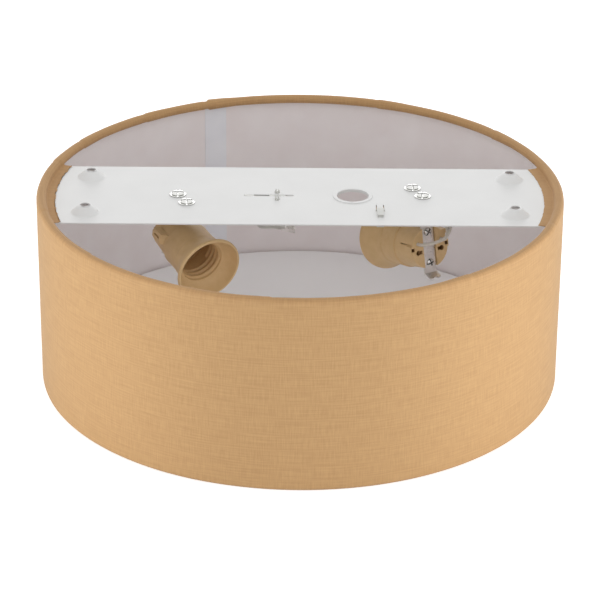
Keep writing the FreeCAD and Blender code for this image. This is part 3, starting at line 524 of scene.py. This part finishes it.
# ----------------------------------------------------------------------------- shade liner
# A stiff film 0.4 mm thick behind the cloth, rolled into a drum. A strip of the same film is
# glued inside over its joint.
film = new_finish("liner_film", tone(248, 241, 241), 0.55)
tint(film, speckle(film, 0.02), tone(246, 238, 238), tone(250, 244, 244))
raise_by(film, speckle(film, 0.0009), 0.00002, 0.5)
dress("shade_liner", film)
strip_film = new_finish("seam_strip_film", tone(243, 244, 250), 0.5)
tint(strip_film, speckle(strip_film, 0.02), tone(240, 241, 247), tone(246, 247, 252))
raise_by(strip_film, speckle(strip_film, 0.0009), 0.00002, 0.5)
dress("liner_seam_strip", strip_film)

# ------------------------------------------------------------------------------ shade cloth
# A band of slubbed cotton glued round the film. Its top edge is rolled over the wire ring,
# tucked under it, or glued down on the ends of the plate, and its bottom edge is rolled
# under the lower ring. The two ends overlap in a lap seam at the back.
wall_r, ring_r, wrap = 160.0, 156.8, 2.7
ring_top, ring_low = -2.7, -118.8
corner_r, inner_r = wall_r - wrap, ring_r - wrap
tail_r = 159.0
cloth_layer = 0.4
columns, wall_rows = 640, 24
flap_angle = 16.7


def pull_round(points, start):
    """Pulls the selected edges from the point start through the points (radius, height)."""
    r0, z0 = start
    for r1, z1 in points:
        bpy.ops.mesh.extrude_edges_move()
        bpy.ops.transform.resize(value=(r1 / r0, r1 / r0, 1), center_override=(0, 0, 0))
        bpy.ops.transform.translate(value=(0, 0, (z1 - z0) / 1000))
        r0, z0 = r1, z1


bpy.ops.object.select_all(action="DESELECT")
bpy.ops.mesh.primitive_circle_add(vertices=columns, radius=tail_r / 1000,
                                  location=(0, 0, 0))
cloth = bpy.context.object
cloth.name = cloth.data.name = "shade_cloth"
bpy.ops.object.mode_set(mode="EDIT")
bpy.ops.mesh.select_all(action="SELECT")
bpy.ops.transform.translate(value=(0, 0, (ring_low + wrap) / 1000))
outline = [(158.0, ring_low + wrap)] + arc(ring_r, ring_low, wrap, 90, 270, 12)
outline += arc(corner_r, ring_low, wrap, -90, 0, 6)
wall_foot = len(outline)
wall_height = ring_top - ring_low
outline += [(wall_r, ring_low + wall_height * i / wall_rows) for i in range(1, wall_rows)]
outline += arc(corner_r, ring_top, wrap, 0, 90, 6) + arc(ring_r, ring_top, wrap, 90, 180, 6)
pull_round(outline, (tail_r, ring_low + wrap))


def pick_edge(inside_flap):
    """Selects the open top edge, over the ends of the plate or away from them."""
    under_the_hem = -0.004
    mesh = bmesh.from_edit_mesh(cloth.data)
    for part in (mesh.verts, mesh.edges, mesh.faces):
        for item in part:
            item.select = False
    for edge in mesh.edges:
        if len(edge.link_faces) == 1:
            middle = (edge.verts[0].co + edge.verts[1].co) / 2
            if middle.z > under_the_hem:
                along = math.degrees(math.atan2(abs(middle.y), abs(middle.x)))
                if (along < flap_angle) == inside_flap:
                    edge.select_set(True)
    bmesh.update_edit_mesh(cloth.data)


flap_z, flap_end = -4.5, 147.9
bpy.ops.mesh.select_mode(type="EDGE")
pick_edge(False)
pull_round(arc(ring_r, ring_top, wrap, 180, 270, 6)[1:] + [(tail_r, ring_top - wrap)],
           (inner_r, ring_top))
pick_edge(True)
flap_line = [(inner_r, -3.4), (inner_r - 0.2, -4.0), (inner_r - 0.8, -4.45)]
flap_line += [(radius, flap_z) for radius in (152.4, 151.2, 150.0, 148.8, flap_end)]
pull_round(flap_line, (inner_r, ring_top))
bpy.ops.mesh.select_all(action="SELECT")
bpy.ops.mesh.normals_make_consistent(inside=False)
bpy.ops.object.mode_set(mode="OBJECT")

# the lap seam stands a cloth's thickness proud, the hem is a little uneven, with a small
# step where each hand-pulled fold overlaps the next, and the flap's cut edge is ragged
seam, seam_span = 112.9, 5.4
folds = (seam, 129.9, 151.8, 164.7, -18.7, 38.0, 71.0, -52.0, -96.0, -141.0, -167.0)
seam_lift, fold_lift = 0.22, 0.09
fold_span, fold_dip = 7, 1.2
wall_ripple, hem_ripple, ragged_by = 0.00012, 0.0002, 0.0004
for vertex in cloth.data.vertices:
    x, y, z = vertex.co
    radius = math.hypot(x, y)
    azimuth = math.degrees(math.atan2(y, x))
    outward = Vector((x / radius, y / radius, 0))
    on_wall, near_hem, on_hem = radius > 0.1575, z > -0.0055, radius > 0.1535
    on_flap_edge = radius < 0.1482
    if on_wall:
        lap = (seam - azimuth) / seam_span
        if 0 <= lap <= 1:
            vertex.co += outward * (cloth_layer / 1000) * (1 - lap) ** 0.5
        vertex.co += outward * wall_ripple * noise.noise(Vector((x, y, z)) * 30)
    if near_hem:
        ease = noise.noise(Vector((math.cos(math.radians(azimuth)) * 9,
                                   math.sin(math.radians(azimuth)) * 9, 3.0)))
        vertex.co += outward * hem_ripple * ease
        core = outward * ring_r / 1000 + Vector((0, 0, ring_top / 1000))
        for fold in folds:
            behind = fold - azimuth
            lift = seam_lift if fold == seam else fold_lift
            if on_hem and 0 <= behind < fold_span:
                vertex.co += (vertex.co - core) * lift * (1 - behind / fold_span) ** 0.7
            elif on_hem and -fold_dip < behind < 0:
                vertex.co -= (vertex.co - core) * lift * 0.4
    if on_flap_edge:
        coarse = noise.noise(Vector((azimuth * 2.3, 0, 1.7)))
        fine = noise.noise(Vector((azimuth * 9.0, 2.0, 0)))
        longer = 0.0009 if x < 0 else 0.0
        vertex.co += outward * (ragged_by * (coarse + 0.4 * fine) + 0.0003 + longer)

# the weave is drawn on a flat pattern of the cloth: along the wall and up its section
flat = cloth.data.uv_layers.new(name="flat_cloth")
flat.active = True
flat.active_render = True
rows = [(tail_r, ring_low + wrap)] + outline
lengths = [0.0]
for before, after in zip(rows, rows[1:]):
    lengths.append(lengths[-1] + math.hypot(after[0] - before[0], after[1] - before[1]))


def cloth_height(radius, height):
    """Distance along the section from the lower tail, in metres."""
    r, z = radius * 1000, height * 1000
    if r > wall_r - 1.2 and ring_low < z < ring_top:
        return (lengths[wall_foot] + z - ring_low) / 1000
    best = min(range(len(rows)), key=lambda i: (rows[i][0] - r) ** 2 + (rows[i][1] - z) ** 2)
    return lengths[best] / 1000


heights = {}
for face in cloth.data.polygons:
    middle = math.atan2(face.center.y, face.center.x)
    for index in face.loop_indices:
        number = cloth.data.loops[index].vertex_index
        co = cloth.data.vertices[number].co
        if number not in heights:
            heights[number] = cloth_height(math.hypot(co.x, co.y), co.z)
        turn = math.atan2(co.y, co.x) - middle
        turn = (turn + math.pi) % math.tau - math.pi
        flat.data[index].uv = ((middle + turn + math.pi) * wall_r / 1000, heights[number])

thick = cloth.modifiers.new("thickness", "SOLIDIFY")
thick.thickness = cloth_layer / 1000
thick.offset = -1
bpy.context.view_layer.objects.active = cloth
bpy.ops.object.select_all(action="DESELECT")
cloth.select_set(True)
bpy.ops.object.modifier_apply(modifier=thick.name)
bpy.ops.object.shade_smooth_by_angle(angle=math.radians(50))

cotton = new_finish("slub_cotton", tone(185, 147, 101), 0.85)
cotton_shader = cotton.node_tree.nodes["Principled BSDF"]
cotton_shader.inputs["Sheen Weight"].default_value = 0.1
cotton_shader.inputs["Sheen Roughness"].default_value = 0.4
slub = speckle(cotton, 0.0009, (24, 1, 1), 4, "UV")
warp = speckle(cotton, 0.0007, (1, 14, 1), 4, "UV")
threads = add_node(cotton, "ShaderNodeMath", {0: slub, 1: warp}, operation="ADD")
dyed = tint(cotton, threads.outputs[0],
            tone(179, 141, 96), tone(193, 155, 108), 0.75, 1.25)
unrolled = add_node(cotton, "ShaderNodeTexCoord").outputs["UV"]
flat_place = add_node(cotton, "ShaderNodeSeparateXYZ", {0: unrolled})
# the cloth is a shade darker where the glue has come through the hem
hem_start, hem_fade = (lengths[wall_foot] + wall_height) / 1000, 0.002
glued = add_node(cotton, "ShaderNodeMix", data_type="RGBA", blend_type="MULTIPLY")
above_wall = ranged(cotton, flat_place.outputs[1], 0, 1, hem_start, hem_start + hem_fade)
cotton.node_tree.links.new(above_wall, glued.inputs[0])
cotton.node_tree.links.new(dyed.outputs[2], glued.inputs[6])
glued.inputs[7].default_value = (1.0, 0.97, 0.95, 1)
to_shader(cotton, "Base Color", glued.outputs[2])
thread_spacing = 0.0009
pattern = add_node(cotton, "ShaderNodeMapping", {"Vector": unrolled})
pattern.inputs["Scale"].default_value = (math.tau / thread_spacing, math.tau / thread_spacing, 1)
axes = add_node(cotton, "ShaderNodeSeparateXYZ", {0: pattern.outputs[0]})
across = add_node(cotton, "ShaderNodeMath", {0: axes.outputs[0]}, operation="SINE")
along = add_node(cotton, "ShaderNodeMath", {0: axes.outputs[1]}, operation="SINE")
weave = add_node(cotton, "ShaderNodeMath", {0: across.outputs[0], 1: along.outputs[0]},
                 operation="MULTIPLY")
woven = raise_by(cotton, weave.outputs[0], 0.00002, 0.5)
raise_by(cotton, threads.outputs[0], 0.00005, 0.5, woven)
place(cloth, cotton, "lamp", "shade_fabric", "shade_fabric")

# -------------------------------------------------------------------------------- diffuser
# A disc of 3 mm opal acrylic, cut with rounded edges. It lies loose on the bottom hem and
# spreads the light of the lamps.
opal = new_finish("opal_acrylic", tone(244, 243, 243), 0.3)
opal_shader = opal.node_tree.nodes["Principled BSDF"]
opal_shader.inputs["Subsurface Weight"].default_value = 0.2
opal_shader.inputs["Subsurface Radius"].default_value = (0.004, 0.004, 0.004)
raise_by(opal, speckle(opal, 0.004), 0.00001, 0.3)
disc = from_node("diffuser", "diffuser_disc")
soften(disc, 0.0006, segments=3)
place(disc, opal, "diffuser", "opal_acrylic", "diffuser")

# --------------------------------------------------------------------- floor, lamps, camera
# A white table under the drum. Even white light comes from all round, with a small lamp near
# each side and a wide one far behind.
drum_height = 0.1215


def seen_rays(finish_or_world):
    """A number that is 1 for what the camera sees, also through glass or in gloss, and 0 for
    what lights the pieces."""
    tree = finish_or_world.node_tree
    rays = tree.nodes.new("ShaderNodeLightPath")
    seen = tree.nodes.new("ShaderNodeMath")
    seen.operation = "MAXIMUM"
    tree.links.new(rays.outputs["Is Camera Ray"], seen.inputs[0])
    mirrored = tree.nodes.new("ShaderNodeMath")
    mirrored.operation = "MAXIMUM"
    tree.links.new(rays.outputs["Is Glossy Ray"], mirrored.inputs[0])
    tree.links.new(rays.outputs["Is Transmission Ray"], mirrored.inputs[1])
    tree.links.new(mirrored.outputs[0], seen.inputs[1])
    return seen.outputs[0]


bpy.ops.mesh.primitive_plane_add(size=14, location=(0, 0, -drum_height))
table = bpy.context.object
table.name = "table_top"
table_white = new_finish("table_white", (0.8, 0.8, 0.8, 1), 0.9)
seen = seen_rays(table_white)
table_shader = table_white.node_tree.nodes["Principled BSDF"]
table_shader.inputs["Emission Color"].default_value = (1, 1, 1, 1)
glow = add_node(table_white, "ShaderNodeMath", {0: seen}, operation="MULTIPLY")
glow.inputs[1].default_value = 0.62
table_white.node_tree.links.new(glow.outputs[0], table_shader.inputs["Emission Strength"])
table.data.materials.append(table_white)

world = bpy.data.worlds.new("studio")
bpy.context.scene.world = world
world.use_nodes = True
seen = seen_rays(world)
backdrop = world.node_tree.nodes["Background"]
sky = world.node_tree.nodes.new("ShaderNodeMapRange")
world.node_tree.links.new(seen, sky.inputs[0])
light_on_pieces, light_seen = 0.80, 1.0
sky.inputs[3].default_value = light_on_pieces
sky.inputs[4].default_value = light_seen
world.node_tree.links.new(sky.outputs[0], backdrop.inputs["Strength"])
backdrop.inputs["Color"].default_value = (1, 1, 1, 1)


def soft_box(name, location, size, power):
    """An area lamp aimed at the middle of the drum, not seen by the camera."""
    aim = Vector((0, 0, -0.06))
    light = bpy.data.lights.new(name, "AREA")
    light.shape = "RECTANGLE"
    light.size, light.size_y = size
    light.energy = power
    lamp = bpy.data.objects.new(name, light)
    bpy.context.collection.objects.link(lamp)
    lamp.location = location
    lamp.visible_camera = False
    lamp.rotation_euler = (aim - Vector(location)).to_track_quat("-Z", "Y").to_euler()


soft_box("left_side", (-0.44, -0.32, -0.05), (0.16, 0.14), 0.85)
soft_box("right_side", (0.44, -0.32, -0.05), (0.16, 0.14), 1.0)
soft_box("behind", (0, 1.5, 0.3), (1.4, 0.6), 5)

camera_data = bpy.data.cameras.new("camera")
camera_data.sensor_fit = "HORIZONTAL"
camera_data.sensor_width = 36
camera_data.lens = 165.752
camera_data.clip_start = 0.05
camera_data.clip_end = 50
camera = bpy.data.objects.new("camera", camera_data)
bpy.context.collection.objects.link(camera)
camera.location = (0, -1.54775, 0.65716)
camera.rotation_euler = [math.radians(a) for a in (64.67464, -0.38330, 0.16913)]
bpy.context.scene.camera = camera
bpy.context.scene.view_settings.view_transform = "Standard"
